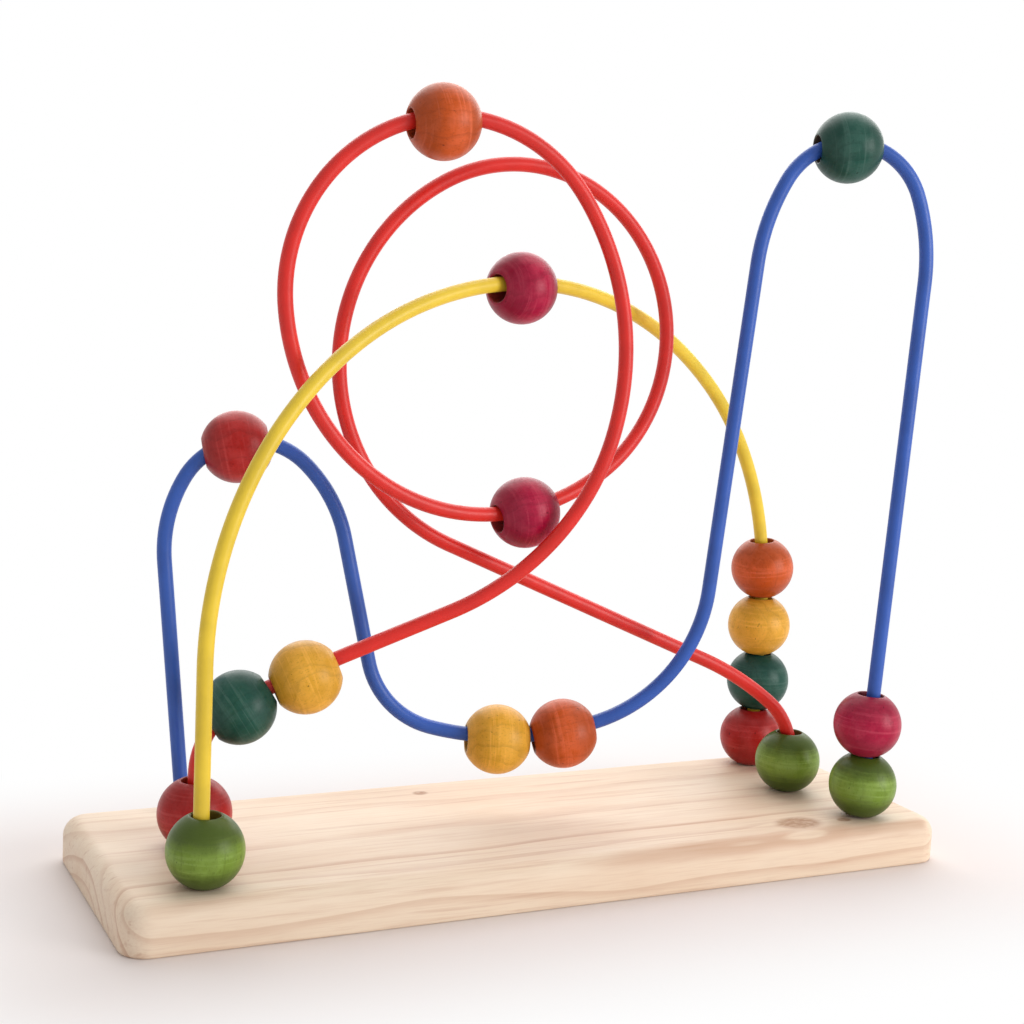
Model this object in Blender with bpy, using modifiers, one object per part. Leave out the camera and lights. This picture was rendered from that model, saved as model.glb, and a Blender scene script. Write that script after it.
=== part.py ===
"""A bead maze: a pine board carries three bent wires, and six wooden beads ride on each wire.

X runs along the board, Y towards its back and Z up. The origin is the middle of the board's underside.
"""

import math

import bmesh
import bpy
from mathutils import Matrix, Vector

# Sleeve over each wire, the steel core inside it, and how deep each is set into the board
SLEEVE_DIAMETER = 0.0050
SLEEVE_WALL = 0.0007
SLEEVE_SOCKET_DEPTH = 0.004
CORE_SOCKET_DEPTH = 0.011
FIT_GAP = 0.0003

# Turned bead: a ball with a wide bore, whose ends are cut flat to a narrow rim
BEAD_DIAMETER = 0.0245
BEAD_PLAY = 0.0042
BEAD_RIM = 0.0005
BEAD_GAP = 0.0003
WIRE_GAP = 0.0004
STACK_SLACK = 0.001
UPRIGHT_LEAN = 10.0

# Yellow wire: a low arch on the diagonal from the front left foot
YELLOW_LEG = 0.068
NEAR_SHOULDER_RADIUS = 0.118
NEAR_SHOULDER_TURN = 70.5
ARCH_CROWN_RADIUS = 0.140
ARCH_CROWN_TURN = 61.0
ARCH_BEAD_TURN = 17.5
FAR_SHOULDER_RADIUS = 0.114

# Blue wire: a hump, a valley and a high peak on the other diagonal, from the back left foot
BLUE_LEAN = 5.2
BLUE_LEG = 0.089
HUMP_SHOULDER_RADIUS = 0.050
HUMP_SHOULDER_TURN = 34.0
HUMP_CROWN_RADIUS = 0.0255
HUMP_CROWN_TURN = 104.5
HUMP_BEAD_TURN = 48.5
DESCENT_LENGTH = 0.0443
VALLEY_ENTRY_RADIUS = 0.0305
VALLEY_ENTRY_TURN = 63.3
VALLEY_FLOOR_RADIUS = 0.105
VALLEY_FLOOR_TURN = 33.0
VALLEY_MEETING_TURN = 19.5
VALLEY_EXIT_RADIUS = 0.056
VALLEY_EXIT_TURN = 66.0
CLIMB_LENGTH = 0.1155
PEAK_SHOULDER_RADIUS = 0.0745
PEAK_SHOULDER_TURN = 23.5
PEAK_CROWN_RADIUS = 0.0263
PEAK_CROWN_TURN = 130.8
PEAK_BEAD_TURN = 56.5

# Red wire: a ramp, two loops that wind from the front to the back, and an exit
RED_LEG = 0.0242
RAMP_BEND_RADIUS = 0.028
RAMP_BEND_TURN = 67.0
RAMP_LENGTH = 0.0708
RAMP_BEAD_DISTANCE = 0.0187
LOOP_RISE_RADIUS = 0.0915
LOOP_RISE_TURN = 103.5
LOOP_CROWN_RADIUS = 0.055
LOOP_CROWN_TURN = 151.0
LOOP_CROWN_BEAD_TURN = 60.0
LOOP_DIP_RADIUS = 0.0775
LOOP_DIP_TURN = 119.0
LOOP_DIP_BEAD_TURN = 92.5
SECOND_CROWN_RADIUS = 0.057
SECOND_CROWN_TURN = 172.0
LOOP_FALL_RADIUS = 0.0685
LOOP_FALL_TURN = 128.0
EXIT_LENGTH = 0.1123
EXIT_BEND_RADIUS = 0.128
EXIT_BEND_TURN = 15.5
EXIT_FOOT_RADIUS = 0.0285
LOOP_FRONT = -0.023
LOOP_FRONT_HEADING = 75.0
LOOP_BACK = 0.008
LOOP_BACK_HEADING = 630.0

# Board: it reaches past the yellow wire's two feet by these margins
WIRE_PLAN_ANGLE = 16.5
LEFT_MARGIN = 0.026
RIGHT_MARGIN = 0.028
FRONT_MARGIN = 0.013
BACK_MARGIN = 0.014
BLUE_LEFT_MARGIN = 0.039
BLUE_BACK_MARGIN = 0.017
RED_LEFT_MARGIN = 0.034
BOARD_THICKNESS = 0.016
BOARD_CORNER_RADIUS = 0.009
BOARD_TOP_ROUND = 0.006
BOARD_BOTTOM_ROUND = 0.0012

# How finely round things are divided
BEND_STEP = 12.0
BEND_CHORD = 0.010
RUN_STEP = 0.018
BEAD_SIDES = 16
BEAD_RINGS = 8
SOCKET_SIDES = 16
SOCKET_MARGIN = 0.002
CORNER_SEGMENTS = 5
EDGE_SEGMENTS = 3

# Sizes that follow from those above
CORE_DIAMETER = SLEEVE_DIAMETER - 2 * (SLEEVE_WALL + FIT_GAP)
BEAD_BORE = SLEEVE_DIAMETER + BEAD_PLAY
BEAD_FLAT_RADIUS = BEAD_BORE / 2 + BEAD_RIM
BEAD_HALF = math.sqrt((BEAD_DIAMETER / 2) ** 2 - BEAD_FLAT_RADIUS ** 2)
BEAD_HANG = BEAD_PLAY / 2 - WIRE_GAP
BEAD_PITCH = 2 * BEAD_HALF + BEAD_GAP
FOOT_STATION = BEAD_HALF + BEAD_GAP

PINE = (0.86, 0.72, 0.52)
STEEL = (0.55, 0.55, 0.56)
SLEEVE_COLOURS = {"yellow": (0.83, 0.58, 0.07), "blue": (0.045, 0.115, 0.43), "red": (0.73, 0.032, 0.021)}
BEAD_COLOURS = {
    "red": (0.38, 0.013, 0.017),
    "orange": (0.58, 0.102, 0.021),
    "yellow": (0.68, 0.38, 0.045),
    "green": (0.10, 0.22, 0.032),
    "teal": (0.026, 0.114, 0.08),
    "magenta": (0.38, 0.013, 0.061),
}


def straight(length):
    """A straight run, as its length and its curvature."""
    return (length, 0.0)


def arc(radius, turn):
    """A bend of a radius through a turn in degrees, positive to the left, as length and curvature."""
    return (radius * math.radians(abs(turn)), math.copysign(1.0 / radius, turn))


def smooth_step(value):
    """Rises from 0 to 1 with level ends as its value goes from 0 to 1."""
    return value * value * (3.0 - 2.0 * value)


class BentWire:
    """A wire bent from straight runs and arcs in an upright plane, whose last leg comes down to the board.

    A station is a distance along the wire from its first foot, which is at the board's top.
    """

    def __init__(self, colour, plan_angle, heading, runs):
        self.colour = colour
        self.foot = Vector((0.0, 0.0, BOARD_THICKNESS))
        self.along = Vector((math.cos(math.radians(plan_angle)), math.sin(math.radians(plan_angle)), 0.0))
        self.across = Vector((-self.along.y, self.along.x, 0.0))
        self.weave = []
        self.runs = []
        self.length = 0.0
        place = (0.0, 0.0)
        heading = math.radians(heading)
        for length, curvature in runs:
            place, heading = self.add_run(length, curvature, place, heading)
        self.last_leg = self.length
        self.add_run(place[1] / -math.sin(heading), 0.0, place, heading)

    def add_run(self, length, curvature, place, heading):
        """Adds a run, and gives the place and the heading at its end."""
        self.runs.append((self.length, length, curvature, place, heading))
        self.length += length
        return self.flat_place(self.runs[-1], length), heading + curvature * length

    def flat_place(self, run, distance):
        """How far along and above the foot the wire is, at a distance from the start of a run."""
        _, _, curvature, (along, above), heading = run
        if curvature == 0.0:
            return (along + distance * math.cos(heading), above + distance * math.sin(heading))
        turned = heading + curvature * distance
        return (
            along + (math.sin(turned) - math.sin(heading)) / curvature,
            above - (math.cos(turned) - math.cos(heading)) / curvature,
        )

    def run_at(self, station):
        """The run that holds a station; the first and last legs run on into the board."""
        for run in reversed(self.runs):
            if station >= run[0]:
                return run
        return self.runs[0]

    def offset_at(self, station):
        """How far the wire weaves out of its plane, by smooth steps between the weave's stations."""
        for (start, low), (end, high) in zip(self.weave, self.weave[1:]):
            if start <= station <= end:
                return low + (high - low) * smooth_step((station - start) / (end - start))
        return 0.0

    def point(self, station):
        """A point on the wire's centre line."""
        run = self.run_at(station)
        along, above = self.flat_place(run, station - run[0])
        side = self.across * self.offset_at(station)
        return self.foot + self.along * along + Vector((0.0, 0.0, above)) + side

    def tangent(self, station):
        """The way that the wire runs at a station."""
        step = 1e-5
        return (self.point(station + step) - self.point(station - step)).normalized()

    def turn_station(self, run_index, turn):
        """The station at a turn in degrees into a bend."""
        start, _, curvature, _, _ = self.runs[run_index]
        return start + math.radians(turn) / abs(curvature)

    def heading_station(self, heading, bends):
        """The station, within some bends, where the wire has turned to a heading in degrees."""
        for start, length, curvature, _, first in bends:
            distance = (math.radians(heading) - first) / curvature
            if 0.0 <= distance <= length:
                return start + distance
        return None

    def bend_centre(self, run_index, station):
        """The centre and the axis of a bend, taken at its place nearest to a station."""
        start, length, curvature, _, heading = self.runs[run_index]
        station = min(max(station, start), start + length)
        turned = heading + curvature * (station - start)
        inward = (self.along * -math.sin(turned) + Vector((0.0, 0.0, math.cos(turned)))) / curvature
        axis = self.tangent(station).cross(inward).normalized()
        return self.point(station) + inward, axis

    def line(self, depth):
        """Points along the wire, which runs on at both ends to a depth in the board."""
        stations = [-depth]
        for start, length, curvature, _, _ in self.runs:
            steps = 1
            if curvature != 0.0:
                turn = math.degrees(abs(curvature) * length)
                steps = math.ceil(max(turn / BEND_STEP, length / BEND_CHORD))
            elif self.weave:
                steps = math.ceil(length / RUN_STEP)
            stations += [start + length * step / steps for step in range(steps)]
        stations += [self.length, self.length + depth]
        return [self.point(station) for station in stations]


def bend_yellow_wire():
    far_shoulder_turn = 180.0 - NEAR_SHOULDER_TURN - ARCH_CROWN_TURN
    runs = [
        straight(YELLOW_LEG),
        arc(NEAR_SHOULDER_RADIUS, -NEAR_SHOULDER_TURN),
        arc(ARCH_CROWN_RADIUS, -ARCH_CROWN_TURN),
        arc(FAR_SHOULDER_RADIUS, -far_shoulder_turn),
    ]
    return BentWire("yellow", WIRE_PLAN_ANGLE, 90.0, runs)


def bend_blue_wire():
    runs = [
        straight(BLUE_LEG),
        arc(HUMP_SHOULDER_RADIUS, -HUMP_SHOULDER_TURN),
        arc(HUMP_CROWN_RADIUS, -HUMP_CROWN_TURN),
        arc(HUMP_SHOULDER_RADIUS, -HUMP_SHOULDER_TURN),
        straight(DESCENT_LENGTH),
        arc(VALLEY_ENTRY_RADIUS, VALLEY_ENTRY_TURN),
        arc(VALLEY_FLOOR_RADIUS, VALLEY_FLOOR_TURN),
        arc(VALLEY_EXIT_RADIUS, VALLEY_EXIT_TURN),
        straight(CLIMB_LENGTH),
        arc(PEAK_SHOULDER_RADIUS, -PEAK_SHOULDER_TURN),
        arc(PEAK_CROWN_RADIUS, -PEAK_CROWN_TURN),
        arc(PEAK_SHOULDER_RADIUS, -PEAK_SHOULDER_TURN),
    ]
    return BentWire("blue", -WIRE_PLAN_ANGLE, 90.0 + BLUE_LEAN, runs)


def bend_red_wire():
    loops_turn = LOOP_RISE_TURN + LOOP_CROWN_TURN + LOOP_DIP_TURN + SECOND_CROWN_TURN + LOOP_FALL_TURN
    exit_foot_turn = loops_turn - RAMP_BEND_TURN - EXIT_BEND_TURN - 540.0
    runs = [
        straight(RED_LEG),
        arc(RAMP_BEND_RADIUS, -RAMP_BEND_TURN),
        straight(RAMP_LENGTH),
        arc(LOOP_RISE_RADIUS, LOOP_RISE_TURN),
        arc(LOOP_CROWN_RADIUS, LOOP_CROWN_TURN),
        arc(LOOP_DIP_RADIUS, LOOP_DIP_TURN),
        arc(SECOND_CROWN_RADIUS, SECOND_CROWN_TURN),
        arc(LOOP_FALL_RADIUS, LOOP_FALL_TURN),
        straight(EXIT_LENGTH),
        arc(EXIT_BEND_RADIUS, -EXIT_BEND_TURN),
        arc(EXIT_FOOT_RADIUS, -exit_foot_turn),
    ]
    wire = BentWire("red", 0.0, 90.0, runs)
    loops = wire.runs[3:8]
    front = wire.heading_station(LOOP_FRONT_HEADING, loops)
    back = wire.heading_station(LOOP_BACK_HEADING, loops)
    wire.weave = [(RED_LEG, 0.0), (front, LOOP_FRONT), (back, LOOP_BACK), (wire.last_leg, 0.0)]
    return wire


def stand_wires(yellow, blue, red):
    """Sets each wire's foot from the board's edges, and gives the board's length and width."""
    reach = yellow.point(yellow.length) - yellow.point(0.0)
    length = LEFT_MARGIN + reach.x + RIGHT_MARGIN
    width = FRONT_MARGIN + reach.y + BACK_MARGIN
    left = -length / 2
    yellow.foot += Vector((left + LEFT_MARGIN, FRONT_MARGIN - width / 2, 0.0))
    blue.foot += Vector((left + BLUE_LEFT_MARGIN, width / 2 - BLUE_BACK_MARGIN, 0.0))
    red.foot += Vector((left + RED_LEFT_MARGIN, 0.0, 0.0))
    return length, width


def make_material(name, colour, roughness, metallic=0.0):
    material = bpy.data.materials.new(name)
    material.use_nodes = True
    shader = material.node_tree.nodes["Principled BSDF"]
    shader.inputs["Base Color"].default_value = (*colour, 1.0)
    shader.inputs["Roughness"].default_value = roughness
    shader.inputs["Metallic"].default_value = metallic
    return material


def make_collection(name):
    collection = bpy.data.collections.new(name)
    bpy.context.scene.collection.children.link(collection)
    return collection


def make_object(name, data, collection, material=None):
    thing = bpy.data.objects.new(name, data)
    collection.objects.link(thing)
    if material and material.name not in data.materials:
        data.materials.append(material)
    return thing


def axis_frame(place, axis):
    """The matrix that puts an object at a place with its Z axis along an axis."""
    return Matrix.Translation(place) @ axis.to_track_quat("Z", "Y").to_matrix().to_4x4()


def turn_profile(thing, sides):
    """Turns an object's profile once about its Z axis."""
    screw = thing.modifiers.new("turned", "SCREW")
    screw.axis = "Z"
    screw.steps = sides
    screw.render_steps = sides
    screw.use_smooth_shade = True
    screw.use_merge_vertices = True
    screw.merge_threshold = 0.00001


def make_profile(name, points, closed):
    """A mesh of edges through points given as distance from the Z axis and height."""
    edges = [(index, index + 1) for index in range(len(points) - 1)]
    if closed:
        edges.append((len(points) - 1, 0))
    mesh = bpy.data.meshes.new(name)
    mesh.from_pydata([(radius, 0.0, height) for radius, height in points], edges, [])
    return mesh


def round_edges(mesh, edges, radius, segments):
    bmesh.ops.bevel(mesh, geom=edges, offset=radius, segments=segments, profile=0.5, affect="EDGES")


def rim_edges(mesh, height):
    """The edges that lie at a height."""
    return [edge for edge in mesh.edges if all(abs(vert.co.z - height) < 1e-6 for vert in edge.verts)]


def make_board(length, width, collection, sockets):
    """A plank with rounded corners and edges, drilled for the wires."""
    mesh = bmesh.new()
    bmesh.ops.create_cube(mesh, size=1.0)
    bmesh.ops.scale(mesh, vec=(length, width, BOARD_THICKNESS), verts=mesh.verts)
    bmesh.ops.translate(mesh, vec=(0.0, 0.0, BOARD_THICKNESS / 2), verts=mesh.verts)
    corners = [edge for edge in mesh.edges if edge.verts[0].co.xy == edge.verts[1].co.xy]
    round_edges(mesh, corners, BOARD_CORNER_RADIUS, CORNER_SEGMENTS)
    round_edges(mesh, rim_edges(mesh, BOARD_THICKNESS), BOARD_TOP_ROUND, EDGE_SEGMENTS)
    round_edges(mesh, rim_edges(mesh, 0.0), BOARD_BOTTOM_ROUND, EDGE_SEGMENTS)
    data = bpy.data.meshes.new("base_board")
    mesh.to_mesh(data)
    mesh.free()
    board = make_object("base_board", data, collection, make_material("pine", PINE, 0.5))
    drilled = board.modifiers.new("drilled", "BOOLEAN")
    drilled.operand_type = "COLLECTION"
    drilled.collection = sockets
    drilled.solver = "EXACT"


def make_sockets(wire, collection):
    """A stepped cutter at each foot: wide for the sleeve, then narrow for the core."""
    sleeve_radius = SLEEVE_DIAMETER / 2 + FIT_GAP
    core_radius = CORE_DIAMETER / 2 + FIT_GAP
    sleeve_floor = -SLEEVE_SOCKET_DEPTH - FIT_GAP
    core_floor = -CORE_SOCKET_DEPTH - FIT_GAP
    profile = [
        (0.0, SOCKET_MARGIN),
        (sleeve_radius, SOCKET_MARGIN),
        (sleeve_radius, sleeve_floor),
        (core_radius, sleeve_floor),
        (core_radius, core_floor),
        (0.0, core_floor),
    ]
    feet = {"left": (0.0, 1.0), "right": (wire.length, -1.0)}
    for side, (station, upward) in feet.items():
        name = f"{wire.colour}_{side}_socket"
        socket = make_object(name, make_profile(name, profile, closed=False), collection)
        turn_profile(socket, SOCKET_SIDES)
        socket.matrix_world = axis_frame(wire.point(station), wire.tangent(station) * upward)
        socket.hide_render = True
        socket.display_type = "WIRE"


def make_line(name, points, diameter, bevel_resolution, collection, material):
    """A round curve through points."""
    curve = bpy.data.curves.new(name, "CURVE")
    curve.dimensions = "3D"
    curve.bevel_depth = diameter / 2
    curve.bevel_resolution = bevel_resolution
    spline = curve.splines.new("POLY")
    spline.points.add(len(points) - 1)
    for spline_point, point in zip(spline.points, points):
        spline_point.co = (*point, 1.0)
    return make_object(name, curve, collection, material)


def make_wire(wire, collection, steel):
    """A steel core, and a plastic sleeve around it that is open at both ends."""
    core_line = wire.line(CORE_SOCKET_DEPTH)
    core = make_line(f"{wire.colour}_core", core_line, CORE_DIAMETER, 1, collection, steel)
    core.data.use_fill_caps = True
    plastic = make_material(f"{wire.colour}_plastic", SLEEVE_COLOURS[wire.colour], 0.3)
    sleeve_line = wire.line(SLEEVE_SOCKET_DEPTH)
    sleeve = make_line(f"{wire.colour}_sleeve", sleeve_line, SLEEVE_DIAMETER, 2, collection, plastic)
    wall = sleeve.modifiers.new("wall", "SOLIDIFY")
    wall.thickness = SLEEVE_WALL
    wall.offset = -1.0
    wall.use_even_offset = True


def bead_profile():
    """The ball's outer side from the top rim to the bottom rim, closed by the bore."""
    radius = BEAD_DIAMETER / 2
    rim_angle = math.acos(BEAD_FLAT_RADIUS / radius)
    angles = [rim_angle * (1.0 - 2.0 * ring / BEAD_RINGS) for ring in range(BEAD_RINGS + 1)]
    outside = [(radius * math.cos(angle), radius * math.sin(angle)) for angle in angles]
    return outside + [(BEAD_BORE / 2, -BEAD_HALF), (BEAD_BORE / 2, BEAD_HALF)]


def make_bead_kinds():
    """One bead profile for each colour, with its dyed wood."""
    kinds = {}
    for colour, shade in BEAD_COLOURS.items():
        kinds[colour] = make_profile(f"{colour}_bead", bead_profile(), closed=True)
        kinds[colour].materials.append(make_material(f"{colour}_dyed_wood", shade, 0.35))
    return kinds


def settle_way(wire, station):
    """The way a loose bead settles: down and square to the wire, or along its plane on an upright leg."""
    tangent = wire.tangent(station)
    down = Vector((0.0, 0.0, -1.0))
    way = down - tangent * down.dot(tangent)
    if way.length < math.sin(math.radians(UPRIGHT_LEAN)):
        return wire.along
    return way.normalized()


def make_beads(wire, beads, kinds, collection):
    """Threads beads on a wire; one that follows a bend has a pivot at the bend's centre for its parent."""
    for colour, station, slack, bend in beads:
        bead = make_object(f"{wire.colour}_wire_{colour}_bead", kinds[colour], collection)
        turn_profile(bead, BEAD_SIDES)
        centre = wire.point(station) + settle_way(wire, station) * slack
        bead.matrix_world = axis_frame(centre, wire.tangent(station))
        if bend is not None:
            pivot = make_object(f"{wire.colour}_wire_{colour}_pivot", None, collection)
            pivot.matrix_world = axis_frame(*wire.bend_centre(bend, station))
            bead.parent = pivot
            bead.matrix_parent_inverse = pivot.matrix_world.inverted()


def rest_turn(inner_radius, flat_distance):
    """The turn along a bend at which a bead just clears a flat that lies square to the bend's end.

    The bead's near corner is at inner_radius * sin(turn) - BEAD_HALF * cos(turn) past the bend's end, and
    the flat at flat_distance.
    """
    slant = math.hypot(inner_radius, BEAD_HALF)
    return math.atan2(BEAD_HALF, inner_radius) + math.asin(flat_distance / slant)


def yellow_beads(wire):
    """Green at the left foot, magenta on the arch, and a stack of four on the right leg."""
    arch, far_shoulder = 2, 3
    arch_station = wire.turn_station(arch, ARCH_BEAD_TURN)
    stack = [wire.length - FOOT_STATION - level * BEAD_PITCH for level in range(3)]
    stack_top = FOOT_STATION + 2 * BEAD_PITCH + BEAD_HALF
    top_turn = rest_turn(
        FAR_SHOULDER_RADIUS - BEAD_FLAT_RADIUS,
        stack_top + BEAD_GAP - (wire.length - wire.last_leg),
    )
    return [
        ("green", FOOT_STATION, BEAD_HANG, None),
        ("magenta", arch_station, BEAD_HANG, arch),
        ("red", stack[0], -STACK_SLACK, None),
        ("teal", stack[1], STACK_SLACK, None),
        ("yellow", stack[2], -STACK_SLACK / 2, far_shoulder),
        ("orange", wire.last_leg - top_turn * FAR_SHOULDER_RADIUS, 0.0, far_shoulder),
    ]


def blue_beads(wire):
    """Red on the hump, yellow and orange in the valley, teal on the peak, and two on the right leg."""
    hump, valley, peak = 2, 6, 10
    valley_hang = BEAD_HANG - BEAD_HALF ** 2 / (2 * VALLEY_FLOOR_RADIUS)
    inner_radius = VALLEY_FLOOR_RADIUS + valley_hang - BEAD_FLAT_RADIUS
    apart = math.degrees(math.atan2(BEAD_HALF, inner_radius) + BEAD_GAP / 2 / inner_radius)
    lean = math.acos(-wire.tangent(wire.length).z)
    foot_station = BEAD_HALF + BEAD_FLAT_RADIUS * math.tan(lean) + BEAD_GAP
    return [
        ("red", wire.turn_station(hump, HUMP_BEAD_TURN), BEAD_HANG, hump),
        ("yellow", wire.turn_station(valley, VALLEY_MEETING_TURN - apart), valley_hang, valley),
        ("orange", wire.turn_station(valley, VALLEY_MEETING_TURN + apart), valley_hang, valley),
        ("teal", wire.turn_station(peak, PEAK_BEAD_TURN), BEAD_HANG, peak),
        ("magenta", wire.length - foot_station - BEAD_PITCH, -STACK_SLACK, None),
        ("green", wire.length - foot_station, 0.0, None),
    ]


def red_beads(wire):
    """Red at the left foot, two on the ramp, orange and magenta on the loops, green at the right foot."""
    ramp_bend, ramp, crown, dip, foot_bend = 1, 2, 4, 5, 10
    ramp_turn = rest_turn(
        RAMP_BEND_RADIUS - BEAD_HANG - BEAD_FLAT_RADIUS,
        BEAD_HALF + BEAD_GAP - RAMP_BEAD_DISTANCE,
    )
    ramp_start = wire.runs[ramp][0]
    dip_hang = BEAD_HANG - BEAD_HALF ** 2 / (2 * LOOP_DIP_RADIUS)
    return [
        ("red", FOOT_STATION, 0.0, None),
        ("teal", ramp_start - ramp_turn * RAMP_BEND_RADIUS, BEAD_HANG, ramp_bend),
        ("yellow", ramp_start + RAMP_BEAD_DISTANCE, BEAD_HANG, None),
        ("orange", wire.turn_station(crown, LOOP_CROWN_BEAD_TURN), BEAD_HANG, crown),
        ("magenta", wire.turn_station(dip, LOOP_DIP_BEAD_TURN), dip_hang, dip),
        ("green", wire.length - FOOT_STATION, -STACK_SLACK, foot_bend),
    ]


def build():
    for thing in list(bpy.data.objects):
        bpy.data.objects.remove(thing, do_unlink=True)
    parts = make_collection("bead_maze")
    sockets = make_collection("bead_maze_cutters")
    yellow = bend_yellow_wire()
    blue = bend_blue_wire()
    red = bend_red_wire()
    length, width = stand_wires(yellow, blue, red)
    steel = make_material("steel", STEEL, 0.35, metallic=1.0)
    kinds = make_bead_kinds()
    for wire, thread in ((yellow, yellow_beads), (blue, blue_beads), (red, red_beads)):
        make_sockets(wire, sockets)
        make_wire(wire, parts, steel)
        make_beads(wire, thread(wire), kinds, parts)
    make_board(length, width, parts, sockets)
    bpy.context.view_layer.update()


build()
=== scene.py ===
import bmesh
import bpy
import numpy as np
from mathutils import Matrix, Vector


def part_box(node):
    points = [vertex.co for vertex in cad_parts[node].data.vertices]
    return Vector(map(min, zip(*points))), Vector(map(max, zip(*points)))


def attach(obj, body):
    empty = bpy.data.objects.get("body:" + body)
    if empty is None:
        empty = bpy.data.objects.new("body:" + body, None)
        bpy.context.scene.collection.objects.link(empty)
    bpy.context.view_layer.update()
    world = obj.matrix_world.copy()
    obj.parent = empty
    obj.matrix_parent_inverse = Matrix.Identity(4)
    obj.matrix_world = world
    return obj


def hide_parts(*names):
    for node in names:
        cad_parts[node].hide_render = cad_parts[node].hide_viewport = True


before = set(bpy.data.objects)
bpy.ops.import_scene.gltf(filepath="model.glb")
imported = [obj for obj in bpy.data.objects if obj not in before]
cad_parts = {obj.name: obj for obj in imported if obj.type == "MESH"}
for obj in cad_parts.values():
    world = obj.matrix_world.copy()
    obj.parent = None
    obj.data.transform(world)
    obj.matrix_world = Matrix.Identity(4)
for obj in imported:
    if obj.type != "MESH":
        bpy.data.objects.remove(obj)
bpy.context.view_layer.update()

# Base board
# A pine plank, planed and sanded, with its corners and its upper edge rounded over.
# The grain runs along it and bends round three knots. Six sockets drilled in its top hold the wires; each is
# a disc of painted shade.

BOARD_LOW, BOARD_HIGH = (np.array(corner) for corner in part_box("base_board"))
BOARD_CORNER = 0.009
BOARD_TOP_ROUND = 0.006
BOARD_BOTTOM_ROUND = 0.0012
CORNER_STEPS = 16
TOP_ROUND_STEPS = 9
BOTTOM_ROUND_STEPS = 5
DRAWN_IN_SHARES = (0.0, 0.5, 0.99)
WELD_DISTANCE = 1e-7
RING_HEART = (0.0, 0.012, -0.045)
RING_SPACING = 0.0058
RING_WANDER = 0.013
RING_SHARE = 0.52
STREAK_SHARE = 0.40
FIBRE_SHARE = 0.16
PALE_PINE = (0.88, 0.73, 0.57)
WARM_PINE = (0.82, 0.62, 0.45)
LATE_WOOD = (0.50, 0.24, 0.13)
KNOT_BROWN_AND_SOCKET_SHADE = (0.36, 0.16, 0.07)
KNOTS = (
    ((0.0950, -0.0375), (0.0095, 0.0064)),
    ((0.1137, -0.0390), (0.0030, 0.0022)),
    ((-0.0222, 0.0346), (0.0030, 0.0024)),
)
SOCKET_RADIUS = 0.0028
SOCKET_SHADE_BLUR = 0.0003
SOCKETS = (
    (-0.1240, -0.0369),
    (0.1220, 0.0359),
    (-0.1110, 0.0329),
    (0.1223, -0.0362),
    (-0.1160, 0.0),
    (0.1156, 0.0),
)


def grid_mesh(name, points, closed_rows, closed_columns, **attributes):
    """Quads over a grid of points, welded at the poles; a closed direction joins its last line to its first.

    Each attribute is a vector for every point of the grid, for the material to read.
    """
    rows, columns = points.shape[:2]
    row = np.arange(rows if closed_rows else rows - 1)
    column = np.arange(columns if closed_columns else columns - 1)
    row, column = np.meshgrid(row, column, indexing="ij")
    next_row, next_column = (row + 1) % rows, (column + 1) % columns
    corners = [(row, column), (row, next_column), (next_row, next_column), (next_row, column)]
    faces = np.stack([r * columns + c for r, c in corners], axis=-1).reshape(-1, 4)
    mesh = bpy.data.meshes.new(name)
    mesh.from_pydata(points.reshape(-1, 3).tolist(), [], faces.tolist())
    for attribute, vectors in attributes.items():
        data = mesh.attributes.new(attribute, "FLOAT_VECTOR", "POINT").data
        data.foreach_set("vector", vectors.reshape(-1).astype(np.float32))
    welded = bmesh.new()
    welded.from_mesh(mesh)
    bmesh.ops.remove_doubles(welded, verts=welded.verts, dist=WELD_DISTANCE)
    bmesh.ops.recalc_face_normals(welded, faces=welded.faces)
    welded.to_mesh(mesh)
    welded.free()
    mesh.shade_smooth()
    return mesh


def add_piece(name, mesh, material, body, node):
    """Puts a mesh in the scene in place of a CAD node, on that node's body."""
    piece = bpy.data.objects.new(name, mesh)
    bpy.context.scene.collection.objects.link(piece)
    mesh.materials.append(material)
    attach(piece, body)
    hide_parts(node)


def board_ring(inset, height):
    """The plank's plan at a height, drawn in by an inset: a quarter of a circle at each corner."""
    half = (BOARD_HIGH - BOARD_LOW)[:2] / 2
    corner = np.repeat(np.arange(4), CORNER_STEPS) * np.pi / 2
    angle = corner + np.tile(np.linspace(0.0, np.pi / 2, CORNER_STEPS), 4)
    middle_x = np.sign(np.cos(corner + np.pi / 4)) * (half[0] - BOARD_CORNER)
    middle_y = np.sign(np.sin(corner + np.pi / 4)) * (half[1] - BOARD_CORNER)
    x = middle_x + (BOARD_CORNER - inset) * np.cos(angle)
    y = middle_y + (BOARD_CORNER - inset) * np.sin(angle)
    return np.stack([x, y, np.full_like(x, height)], axis=-1)


def drawn_in(ring, shares):
    """A ring drawn towards the plank's middle line: a share of 1 leaves it, and 0 lays it on the line."""
    reach = BOARD_HIGH[0] - BOARD_HIGH[1]
    middle = ring * (0.0, 0.0, 1.0)
    middle[:, 0] = np.clip(ring[:, 0], -reach, reach)
    return [middle + (ring - middle) * share for share in shares]


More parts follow.
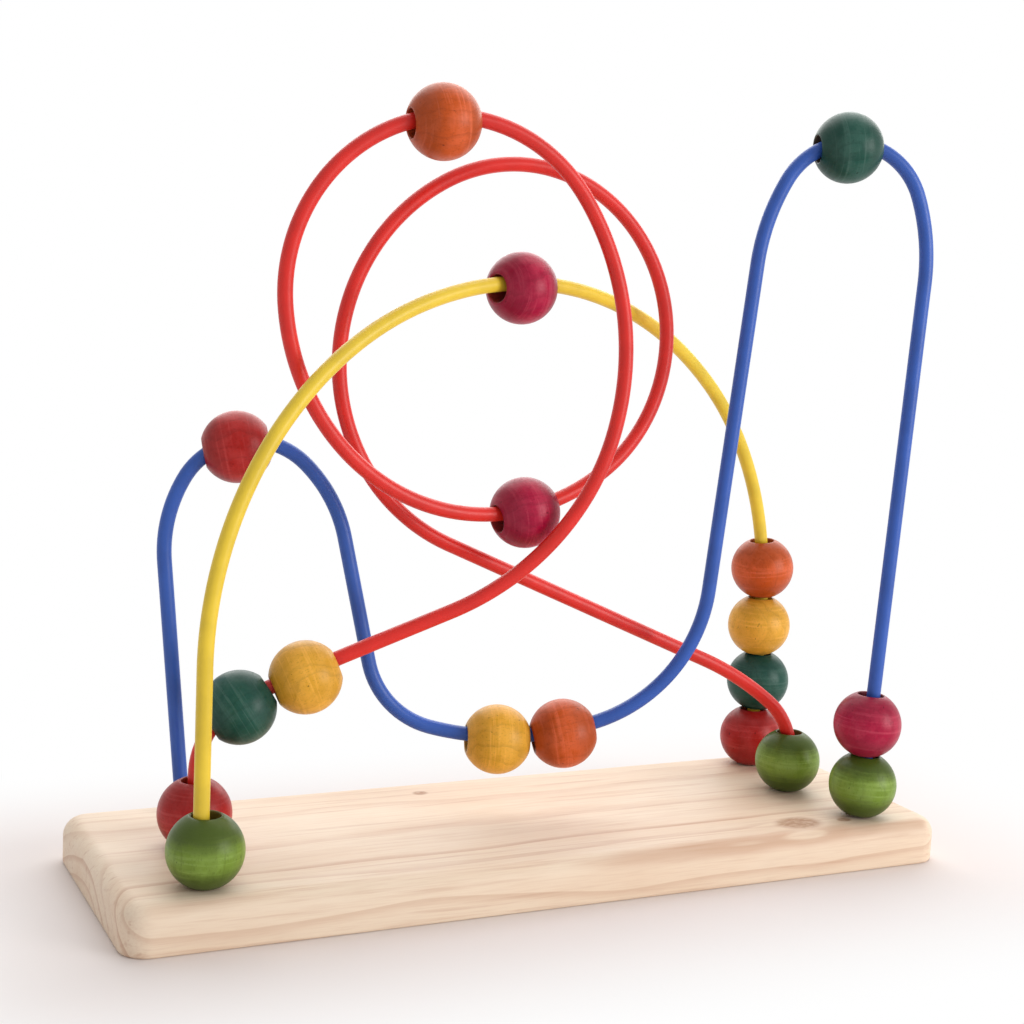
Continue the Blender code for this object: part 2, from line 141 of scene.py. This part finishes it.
def board_surface():
    """Rings of the plank's plan from the middle of the top, over its rounded edges, to the middle below.

    Over an edge of radius r, at an angle a, the inset is r(1 - sin a) and the height falls by r(1 - cos a).
    """
    over = np.linspace(0.0, np.pi / 2, TOP_ROUND_STEPS)
    insets = BOARD_TOP_ROUND * (1 - np.sin(over))
    heights = BOARD_HIGH[2] - BOARD_TOP_ROUND * (1 - np.cos(over))
    upper = [board_ring(inset, height) for inset, height in zip(insets, heights)]
    under = np.linspace(0.0, np.pi / 2, BOTTOM_ROUND_STEPS)
    insets = BOARD_BOTTOM_ROUND * (1 - np.cos(under))
    heights = BOARD_LOW[2] + BOARD_BOTTOM_ROUND * (1 - np.sin(under))
    lower = [board_ring(inset, height) for inset, height in zip(insets, heights)]
    top = drawn_in(upper[0], DRAWN_IN_SHARES)
    bottom = drawn_in(lower[-1], DRAWN_IN_SHARES[::-1])
    return np.array(top + upper + lower + bottom)


class Nodes:
    """The node tree of a material or a world, with short ways to add its nodes."""

    def __init__(self, owner):
        owner.use_nodes = True
        self.owner = owner
        self.tree = owner.node_tree
        self.shader = self.tree.nodes.get("Principled BSDF")

    def put(self, socket, value):
        """Links an output to a socket, or sets the socket's own value."""
        if isinstance(value, bpy.types.NodeSocket):
            self.tree.links.new(value, socket)
        elif socket.type == "RGBA":
            socket.default_value = (*value, 1.0)
        else:
            socket.default_value = value

    def add(self, kind, inputs, **options):
        """A node with its options set and its inputs put, each under its name or number."""
        node = self.tree.nodes.new(kind)
        for name, value in options.items():
            setattr(node, name, value)
        for key, value in inputs.items():
            self.put(node.inputs[key], value)
        return node

    def shade(self, **inputs):
        """Puts the shader's own inputs."""
        for name, value in inputs.items():
            self.put(self.shader.inputs[name.replace("_", " ")], value)

    def math(self, operation, *values):
        """One step of arithmetic on numbers."""
        return self.add("ShaderNodeMath", dict(enumerate(values)), operation=operation).outputs[0]

    def vector(self, operation, *values):
        """One step of arithmetic on vectors."""
        return self.add("ShaderNodeVectorMath", dict(enumerate(values)), operation=operation).outputs[0]

    def length(self, vector):
        """How long a vector is."""
        return self.add("ShaderNodeVectorMath", {0: vector}, operation="LENGTH").outputs["Value"]

    def noise(self, place, stretch, detail=3.0, roughness=0.5):
        """Soft noise from 0 to 1, as fine along each axis as its stretch."""
        stretched = self.vector("MULTIPLY", place, stretch)
        inputs = {"Vector": stretched, "Scale": 1.0, "Detail": detail, "Roughness": roughness}
        return self.add("ShaderNodeTexNoise", inputs).outputs[0]

    def ramp(self, value, low, high, start, end):
        """A smooth step from start to end, as a value goes from low to high."""
        inputs = {"Value": value, "From Min": low, "From Max": high, "To Min": start, "To Max": end}
        return self.add("ShaderNodeMapRange", inputs, interpolation_type="SMOOTHSTEP").outputs[0]

    def blend(self, share, first, second):
        """Two colours mixed by a share."""
        return self.add("ShaderNodeMix", {0: share, 6: first, 7: second}, data_type="RGBA").outputs[2]

    def bump(self, height, strength, distance):
        """A normal tilted by a height."""
        inputs = {"Height": height, "Strength": strength, "Distance": distance}
        return self.add("ShaderNodeBump", inputs).outputs[0]


def growth_rings(nodes, radius, spacing):
    """Late wood from 0 to 1: each year it grows slowly and ends at once, and some years are stronger."""
    years = nodes.math("DIVIDE", radius, spacing)
    share = nodes.math("FRACT", years)
    growing = nodes.ramp(share, 0.58, 0.94, 0.0, 1.0)
    late = nodes.math("MULTIPLY", growing, nodes.ramp(share, 0.95, 1.0, 1.0, 0.0))
    strength = nodes.add("ShaderNodeTexWhiteNoise", {"W": nodes.math("FLOOR", years)}, noise_dimensions="1D")
    return nodes.math("MULTIPLY", late, nodes.ramp(strength.outputs[0], 0.0, 1.0, 0.15, 1.0))


def pine():
    """Growth rings are shells round a heart line along the plank, pushed out and fainter round each knot."""
    nodes = Nodes(bpy.data.materials.new("sanded_pine"))
    place = nodes.add("ShaderNodeTexCoord", {}).outputs["Object"]
    push = 0.0
    knot = 0.0
    for centre, size in KNOTS:
        away = nodes.vector("SUBTRACT", place, (*centre, 0.0))
        away = nodes.length(nodes.vector("MULTIPLY", away, (1 / size[0], 1 / size[1], 0.0)))
        push = nodes.math("ADD", push, nodes.ramp(away, 0.5, 2.6, size[1] * 0.3, 0.0))
        knot = nodes.math("MAXIMUM", knot, nodes.ramp(away, 0.6, 1.2, 1.0, 0.0))
    wander = nodes.noise(place, (6.0, 20.0, 20.0), 2.0)
    flat = nodes.vector("MULTIPLY", nodes.vector("SUBTRACT", place, RING_HEART), (0.0, 1.0, 1.0))
    radius = nodes.math("ADD", nodes.length(flat), nodes.math("MULTIPLY", wander, RING_WANDER))
    late = growth_rings(nodes, nodes.math("ADD", radius, push), RING_SPACING)
    late = nodes.math("MULTIPLY", late, nodes.ramp(push, 0.0, 0.002, 1.0, 0.3))
    fibre = nodes.noise(place, (70.0, 1600.0, 1600.0), 4.0, 0.6)
    streak = nodes.noise(place, (14.0, 420.0, 420.0), 3.0, 0.6)
    cloud = nodes.noise(place, (9.0, 45.0, 45.0))
    mottle = nodes.noise(place, (420.0, 700.0, 420.0))
    colour = nodes.blend(nodes.ramp(cloud, 0.35, 0.7, 0.0, 0.6), PALE_PINE, WARM_PINE)
    colour = nodes.blend(nodes.math("MULTIPLY", late, RING_SHARE), colour, LATE_WOOD)
    colour = nodes.blend(nodes.ramp(streak, 0.52, 0.78, 0.0, STREAK_SHARE), colour, LATE_WOOD)
    colour = nodes.blend(nodes.ramp(fibre, 0.4, 0.8, 0.0, FIBRE_SHARE), colour, LATE_WOOD)
    knot = nodes.math("MULTIPLY", knot, nodes.ramp(mottle, 0.3, 0.65, 0.50, 0.80))
    colour = nodes.blend(knot, colour, KNOT_BROWN_AND_SOCKET_SHADE)
    # Painted shade: the plank has no holes, so a dark disc at each socket stands in for the shade in the gap
    # round the wire.
    for socket in SOCKETS:
        away = nodes.vector("SUBTRACT", place, (*socket, BOARD_HIGH[2]))
        away = nodes.length(nodes.vector("MULTIPLY", away, (1.0, 1.0, 0.3)))
        socket_shade = nodes.ramp(away, SOCKET_RADIUS, SOCKET_RADIUS + SOCKET_SHADE_BLUR, 0.85, 0.0)
        colour = nodes.blend(socket_shade, colour, KNOT_BROWN_AND_SOCKET_SHADE)
    height = nodes.math("SUBTRACT", late, fibre)
    nodes.shade(
        Base_Color=colour,
        Roughness=nodes.ramp(fibre, 0.2, 0.8, 0.46, 0.60),
        Specular_IOR_Level=0.35,
        Normal=nodes.bump(height, 0.2, 0.0002),
    )
    return nodes.owner


board_mesh = grid_mesh("board", board_surface(), closed_rows=False, closed_columns=True)
add_piece("board", board_mesh, pine(), "frame", "base_board")

# Wires
# Each is a hard steel wire in a coloured plastic sleeve, bent in an upright plane and set into the board.
# The red one also weaves out of its plane, so that its loops pass one another.

SLEEVE_RADIUS = 0.0025
SLEEVE_BORE = 0.0018
SLEEVE_SEAT = 0.004
SLEEVE_SIDES = 24
PATH_STEP = 0.002
FINE_STEPS = 8
SLEEVE_COLOURS = {"yellow": (0.88, 0.63, 0.045), "blue": (0.031, 0.107, 0.47), "red": (0.75, 0.022, 0.015)}
SLEEVE_DEEPER = 0.86
DULL_STEEL = (0.42, 0.42, 0.44)
BRIGHT_STEEL = (0.60, 0.60, 0.62)
WIRES = {
    "yellow": {
        "foot": (-0.124, -0.03694),
        "plan": 16.5,
        "heading": 90.0,
        "runs": [("leg", 0.068), (0.118, -70.5), (0.140, -61.0), (0.114, -48.5)],
    },
    "blue": {
        "foot": (-0.111, 0.03294),
        "plan": -16.5,
        "heading": 95.2,
        "runs": [
            ("leg", 0.089),
            (0.050, -34.0),
            (0.0255, -104.5),
            (0.050, -34.0),
            ("leg", 0.0443),
            (0.0305, 63.3),
            (0.105, 33.0),
            (0.056, 66.0),
            ("leg", 0.1155),
            (0.0745, -23.5),
            (0.0263, -130.8),
            (0.0745, -23.5),
        ],
    },
    "red": {
        "foot": (-0.116, 0.0),
        "plan": 0.0,
        "heading": 90.0,
        "runs": [
            ("leg", 0.0242),
            (0.028, -67.0),
            ("leg", 0.0708),
            (0.0915, 103.5),
            (0.055, 151.0),
            (0.0775, 119.0),
            (0.057, 172.0),
            (0.0685, 128.0),
            ("leg", 0.1123),
            (0.128, -15.5),
            (0.0285, -51.0),
        ],
        "loops": slice(3, 9),
        "weave": [(75.0, -0.023), (630.0, 0.008)],
    },
}


def smooth_steps(value, stops, levels):
    """Levels joined by smooth steps: a share t of the way between two stops goes t * t * (3 - 2t) of it."""
    index = np.clip(np.searchsorted(stops, value) - 1, 0, len(stops) - 2)
    share = np.clip((value - stops[index]) / (stops[index + 1] - stops[index]), 0.0, 1.0)
    return levels[index] + (levels[index + 1] - levels[index]) * share * share * (3 - 2 * share)


def wire_line(foot, plan, heading, runs, loops=None, weave=()):
    """A wire's centre line and its tangents, from end to end, and the way across its plane.

    Its heading turns evenly along each run, whose length in a bend is radius times turn, and its place is the
    sum of its steps. The last leg is as long as its height above the board over the sine of its slope.
    The weave gives headings in the loops and how far out of the plane the wire is there.
    """
    lengths = np.array([size if kind == "leg" else kind * np.radians(abs(size)) for kind, size in runs])
    turns = np.array([0.0 if kind == "leg" else size for kind, size in runs])
    ends = np.concatenate([[0.0], np.cumsum(lengths)])
    headings = heading + np.concatenate([[0.0], np.cumsum(turns)])

    def flat_steps(stations):
        """Where each station is along and above the first, by the heading half way to the next."""
        angle = np.radians(np.interp((stations[1:] + stations[:-1]) / 2, ends, headings))
        steps = np.diff(stations)[:, None] * np.stack([np.cos(angle), np.sin(angle)], axis=-1)
        return np.concatenate([np.zeros((1, 2)), np.cumsum(steps, axis=0)])

    fine = np.arange(0.0, ends[-1], PATH_STEP / FINE_STEPS)
    rise = flat_steps(np.append(fine, ends[-1]))[-1, 1]
    total = ends[-1] - rise / np.sin(np.radians(headings[-1]))
    count = FINE_STEPS * int((total + 2 * SLEEVE_SEAT) / PATH_STEP) + 1
    stations = np.linspace(-SLEEVE_SEAT, total + SLEEVE_SEAT, count)
    flat = flat_steps(stations)
    flat[:, 1] += BOARD_HIGH[2] - SLEEVE_SEAT * np.sin(np.radians(heading))
    flat[:, 0] -= SLEEVE_SEAT * np.cos(np.radians(heading))
    offset = np.zeros(count)
    if loops:
        turned, out = np.transpose(weave)
        stops = np.concatenate([ends[1:2], np.interp(turned, headings[loops], ends[loops]), ends[-1:]])
        offset = smooth_steps(stations, stops, np.concatenate([[0.0], out, [0.0]]))
    plan = np.radians(plan)
    along = np.array([np.cos(plan), np.sin(plan), 0.0])
    across = np.array([-np.sin(plan), np.cos(plan), 0.0])
    line = flat[:, :1] * along + offset[:, None] * across
    line[:, 2] = flat[:, 1]
    line[:, :2] += foot
    tangents = np.gradient(line, axis=0)
    tangents /= np.linalg.norm(tangents, axis=1, keepdims=True)
    return line, tangents, across


def sleeve_surface(line, tangents, across):
    """A circle carried along the line, and back inside it at the bore's radius."""
    side = across - tangents * (tangents @ across)[:, None]
    side /= np.linalg.norm(side, axis=1, keepdims=True)
    up = np.cross(tangents, side)
    turn = np.linspace(0.0, 2 * np.pi, SLEEVE_SIDES, endpoint=False)
    circle = side[:, None] * np.cos(turn)[:, None] + up[:, None] * np.sin(turn)[:, None]
    outside = line[:, None] + circle * SLEEVE_RADIUS
    inside = line[:, None] + circle * SLEEVE_BORE
    return np.concatenate([outside, inside[::-1]])


def sleeve_plastic(name, colour):
    """Smooth plastic, a little uneven in its colour and its thickness from being drawn over the wire."""
    nodes = Nodes(bpy.data.materials.new(name))
    place = nodes.add("ShaderNodeTexCoord", {}).outputs["Object"]
    cloud = nodes.noise(place, (90.0, 90.0, 90.0))
    grain = nodes.noise(place, (700.0, 700.0, 700.0), 2.0)
    deeper = tuple(SLEEVE_DEEPER * part for part in colour)
    nodes.shade(
        Base_Color=nodes.blend(nodes.ramp(cloud, 0.3, 0.7, 0.0, 1.0), deeper, colour),
        Roughness=nodes.ramp(grain, 0.2, 0.8, 0.34, 0.42),
        Specular_IOR_Level=0.38,
        Normal=nodes.bump(cloud, 0.08, 0.0006),
    )
    return nodes.owner


def drawn_steel():
    """Bright drawn wire with fine dull patches."""
    nodes = Nodes(bpy.data.materials.new("drawn_steel"))
    place = nodes.add("ShaderNodeTexCoord", {}).outputs["Object"]
    patch = nodes.noise(place, (500.0, 500.0, 500.0))
    nodes.shade(
        Base_Color=nodes.blend(patch, DULL_STEEL, BRIGHT_STEEL),
        Metallic=1.0,
        Roughness=nodes.ramp(patch, 0.3, 0.7, 0.25, 0.45),
    )
    return nodes.owner


lines = {wire: wire_line(**shape) for wire, shape in WIRES.items()}
steel = drawn_steel()
for wire, (line, tangents, across) in lines.items():
    coarse = slice(None, None, FINE_STEPS)
    surface = sleeve_surface(line[coarse], tangents[coarse], across)
    mesh = grid_mesh(wire + "_tube", surface, closed_rows=True, closed_columns=True)
    plastic = sleeve_plastic(wire + "_drawn_plastic", SLEEVE_COLOURS[wire])
    add_piece(wire + "_tube", mesh, plastic, "frame", wire + "_sleeve")
    for core_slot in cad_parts[wire + "_core"].material_slots:
        core_slot.material = steel

# Beads
# Eighteen balls turned from hardwood dowel, bored through along the grain, dyed and waxed.
# Each hangs loose on its wire. The end grain round the bore takes the dye darker than the sides.

BEAD_RADIUS = 0.0122
BEAD_BORE = 0.0046
BEAD_RIM = 0.0005
BEAD_SIDES = 64
BALL_STEPS = 41
RIM_STEPS = 5
BORE_STEPS = 5
BORE_INSET = 0.002
DOWEL_RING = 0.31
CUT_SEED = 7
CUT_LOW = (0.9, -0.6, 0.0)
CUT_HIGH = (2.4, 0.6, 40.0)
SIDE_HINT = (0.31, -0.87, 0.39)
BORE_RAW_WOOD_AND_SHADE = (0.16, 0.06, 0.025)
DYES = {
    "red": ((0.41, 0.012, 0.010), 0.35),
    "yellow": ((0.75, 0.38, 0.033), 0.20),
    "teal": ((0.010, 0.075, 0.053), 0.40),
    "orange": ((0.58, 0.090, 0.012), 0.40),
    "magenta": ((0.39, 0.004, 0.043), 0.40),
    "green": ((0.175, 0.275, 0.032), 0.88),
}


def bead_profile():
    """A ball's outline as distance from its axis and height, closed through the bore, with rounded rims."""
    flat = BEAD_BORE + BEAD_RIM
    reach = np.arccos(flat / BEAD_RADIUS)
    ball = np.linspace(-reach, reach, BALL_STEPS)
    outer = np.stack([BEAD_RADIUS * np.cos(ball), BEAD_RADIUS * np.sin(ball)], axis=-1)
    half = BEAD_RADIUS * np.sin(reach)
    over = np.linspace(0.0, np.pi / 2, RIM_STEPS)[1:]
    rim = np.stack([BEAD_BORE + BEAD_RIM * (1 - np.sin(over)), half - BEAD_RIM * (1 - np.cos(over))], axis=-1)
    depth = half - BORE_INSET
    bore = np.stack([np.full(BORE_STEPS, BEAD_BORE), np.linspace(depth, -depth, BORE_STEPS)], axis=-1)
    return np.concatenate([outer, rim, bore, (rim * (1.0, -1.0))[::-1]])


def bead_surface(centre, axis):
    """The profile turned about the bead's own axis, with each point's place in the bead, in bead radii."""
    profile = bead_profile()
    turn = np.linspace(0.0, 2 * np.pi, BEAD_SIDES, endpoint=False)
    x = profile[:, :1] * np.cos(turn)
    y = profile[:, :1] * np.sin(turn)
    z = np.repeat(profile[:, 1:], BEAD_SIDES, axis=1)
    turned = np.stack([x, y, z], axis=-1)
    side = np.cross(axis, SIDE_HINT)
    side /= np.linalg.norm(side)
    return centre + turned @ np.array([side, np.cross(axis, side), axis]), turned / BEAD_RADIUS


def dyed_wood(name, colour, end_share):
    """Dowel grain along the bore, with pale turning lines, and the dye darker by a share in the end grain."""
    nodes = Nodes(bpy.data.materials.new(name))
    turned = nodes.add("ShaderNodeAttribute", {}, attribute_name="turned").outputs["Vector"]
    dowel = nodes.add("ShaderNodeAttribute", {}, attribute_name="dowel").outputs["Vector"]
    axial = nodes.add("ShaderNodeSeparateXYZ", {"Vector": turned}).outputs[2]
    cloud = nodes.noise(dowel, (1.7, 1.7, 1.7), 4.0, 0.6)
    wander = nodes.noise(dowel, (1.6, 1.6, 0.5), 2.0)
    radius = nodes.length(nodes.vector("MULTIPLY", dowel, (1.0, 1.0, 0.0)))
    late = growth_rings(nodes, nodes.math("ADD", radius, nodes.math("MULTIPLY", wander, 0.9)), DOWEL_RING)
    fleck = nodes.noise(dowel, (22.0, 22.0, 13.0), 3.0, 0.6)
    lathe = nodes.noise(dowel, (0.5, 0.5, 12.0), 3.0, 0.6)
    pits = nodes.noise(dowel, (9.0, 9.0, 5.0), 1.0)
    level = nodes.math("ADD", axial, nodes.math("MULTIPLY", nodes.math("ADD", cloud, lathe), 0.35))
    ends = nodes.ramp(nodes.math("ABSOLUTE", nodes.math("SUBTRACT", level, 0.30)), 0.10, 0.62, 0.0, 1.0)
    bore = nodes.length(nodes.vector("MULTIPLY", turned, (1.0, 1.0, 0.0)))
    deep = tuple(0.28 * part for part in colour)
    pale = tuple(1.25 * part + 0.04 for part in colour)
    shade = nodes.blend(nodes.ramp(cloud, 0.38, 0.62, 0.0, 0.5), colour, pale)
    shade = nodes.blend(nodes.ramp(lathe, 0.50, 0.68, 0.0, 0.75), shade, pale)
    shade = nodes.blend(nodes.math("MULTIPLY", late, 0.20), shade, deep)
    shade = nodes.blend(nodes.ramp(fleck, 0.52, 0.72, 0.0, 0.30), shade, deep)
    shade = nodes.blend(nodes.math("MULTIPLY", ends, end_share), shade, deep)
    shade = nodes.blend(nodes.ramp(pits, 0.74, 0.80, 0.0, 0.8), shade, deep)
    # The bore's wall is darkened towards brown: raw wood there, and painted shade in the bore round the wire.
    shade = nodes.blend(nodes.ramp(bore, 0.38, 0.42, 0.45, 0.0), shade, BORE_RAW_WOOD_AND_SHADE)
    dents = nodes.math("ADD", fleck, nodes.ramp(pits, 0.72, 0.80, 0.0, 2.0))
    height = nodes.math("SUBTRACT", lathe, dents)
    nodes.shade(
        Base_Color=shade,
        Roughness=nodes.ramp(fleck, 0.3, 0.8, 0.30, 0.44),
        Specular_IOR_Level=0.2,
        Normal=nodes.bump(height, 0.10, 0.0002),
    )
    return nodes.owner


dyed = {colour: dyed_wood(colour + "_dye", *dye) for colour, dye in DYES.items()}
beads = [(wire, colour) for wire in WIRES for colour in DYES]
cuts = np.random.default_rng(CUT_SEED).uniform(CUT_LOW, CUT_HIGH, (len(beads), 3))
for (wire, colour), cut in zip(beads, cuts):
    node = wire + "_wire_" + colour + "_bead"
    centre = np.mean(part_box(node), axis=0)
    line, tangents, _ = lines[wire]
    axis = tangents[np.argmin(np.linalg.norm(line - centre, axis=1))]
    surface, turned = bead_surface(centre, axis)
    mesh = grid_mesh(node + "_turned", surface, True, True, turned=turned, dowel=turned + cut)
    add_piece(node + "_turned", mesh, dyed[colour], node, node)

# Studio
# A pale floor that runs out to white, a broad soft light above the back right and a smaller one at the
# front right. The camera stands a little above the board and looks at it from the front left, as in the
# photograph.

FLOOR_REACH = 8.0
FLOOR_COLOUR = (0.84, 0.78, 0.765)
FLOOR_FADE = 0.10
WHITE = (1.0, 1.0, 1.0)
SKY_LIGHT = 0.52
LAMP_TARGET = (0.0, 0.0, 0.1)
CAMERA_PLACE = (-0.26364, -0.53803, 0.20440)
CAMERA_YAW = 0.445395
CAMERA_PITCH = 0.132652
CAMERA_ROLL = -0.0474131
CAMERA_LENS = 61.32


def seen(nodes):
    """One where a ray comes from the camera, or from it by a mirror or through a clear thing."""
    path = nodes.add("ShaderNodeLightPath", {})
    rays = [path.outputs[name] for name in ("Is Camera Ray", "Is Glossy Ray", "Is Transmission Ray")]
    return nodes.math("MAXIMUM", nodes.math("MAXIMUM", rays[0], rays[1]), rays[2])


def floor_paper():
    """White paper round the object, which fades into plain white a hand's width away from the board."""
    nodes = Nodes(bpy.data.materials.new("white_paper"))
    place = nodes.add("ShaderNodeTexCoord", {}).outputs["Object"]
    fibre = nodes.noise(place, (30.0, 30.0, 30.0))
    paper = nodes.blend(fibre, FLOOR_COLOUR, tuple(0.98 * part for part in FLOOR_COLOUR))
    nodes.shade(Base_Color=paper, Roughness=0.9)
    beyond = nodes.vector("SUBTRACT", nodes.vector("ABSOLUTE", place), (BOARD_HIGH[0], BOARD_HIGH[1], 0.0))
    beyond = nodes.length(nodes.vector("MAXIMUM", beyond, (0.0, 0.0, 0.0)))
    far = nodes.ramp(beyond, 0.0, FLOOR_FADE, 0.0, 1.0)
    white = nodes.add("ShaderNodeEmission", {"Color": WHITE, "Strength": 1.0})
    share = nodes.math("MULTIPLY", far, seen(nodes))
    fade = nodes.add("ShaderNodeMixShader", {0: share, 1: nodes.shader.outputs[0], 2: white.outputs[0]})
    nodes.put(nodes.tree.nodes["Material Output"].inputs["Surface"], fade.outputs[0])
    return nodes.owner


def studio_sky():
    """Even light from all round, plain white where it is seen."""
    nodes = Nodes(bpy.data.worlds.new("studio"))
    light = nodes.add("ShaderNodeBackground", {"Color": WHITE, "Strength": SKY_LIGHT})
    white = nodes.add("ShaderNodeBackground", {"Color": WHITE, "Strength": 1.0})
    sky = nodes.add("ShaderNodeMixShader", {0: seen(nodes), 1: light.outputs[0], 2: white.outputs[0]})
    nodes.put(nodes.tree.nodes["World Output"].inputs["Surface"], sky.outputs[0])
    return nodes.owner


def add_lamp(name, place, size, power, colour):
    """A square soft light at a place, turned towards the middle of the object."""
    lamp = bpy.data.lights.new(name, "AREA")
    lamp.shape = "SQUARE"
    lamp.size = size
    lamp.energy = power
    lamp.color = colour
    stand = bpy.data.objects.new(name, lamp)
    away = Vector(place) - Vector(LAMP_TARGET)
    stand.matrix_world = Matrix.Translation(place) @ away.to_track_quat("Z", "Y").to_matrix().to_4x4()
    bpy.context.scene.collection.objects.link(stand)


def camera_matrix():
    """Columns to the right, up and back; yaw turns from +Y towards +X, pitch looks down, roll tips it."""
    yaw, pitch, roll = CAMERA_YAW, CAMERA_PITCH, CAMERA_ROLL
    ahead = np.array([np.sin(yaw) * np.cos(pitch), np.cos(yaw) * np.cos(pitch), -np.sin(pitch)])
    level = np.array([np.cos(yaw), -np.sin(yaw), 0.0])
    down = np.cross(ahead, level)
    right = np.cos(roll) * level + np.sin(roll) * down
    below = np.cos(roll) * down - np.sin(roll) * level
    return Matrix(np.column_stack([right, -below, -ahead, CAMERA_PLACE]).tolist()).to_4x4()


floor_size = np.linspace(-FLOOR_REACH, FLOOR_REACH, 2)
floor_x, floor_y = np.meshgrid(floor_size, floor_size, indexing="ij")
floor_points = np.stack([floor_x, floor_y, np.full_like(floor_x, BOARD_LOW[2])], axis=-1)
floor_mesh = grid_mesh("floor", floor_points, closed_rows=False, closed_columns=False)
floor = bpy.data.objects.new("floor", floor_mesh)
floor.data.materials.append(floor_paper())
bpy.context.scene.collection.objects.link(floor)

bpy.context.scene.world = studio_sky()
add_lamp("back_right", (0.42, 0.70, 0.95), 1.7, 16.0, (1.0, 0.99, 0.97))
add_lamp("front_right", (0.95, -1.15, 0.42), 0.8, 12.0, (1.0, 0.98, 0.96))

lens = bpy.data.cameras.new("camera")
lens.lens = CAMERA_LENS
camera = bpy.data.objects.new("camera", lens)
camera.matrix_world = camera_matrix()
bpy.context.scene.collection.objects.link(camera)
bpy.context.scene.camera = camera
bpy.context.scene.view_settings.view_transform = "Standard"
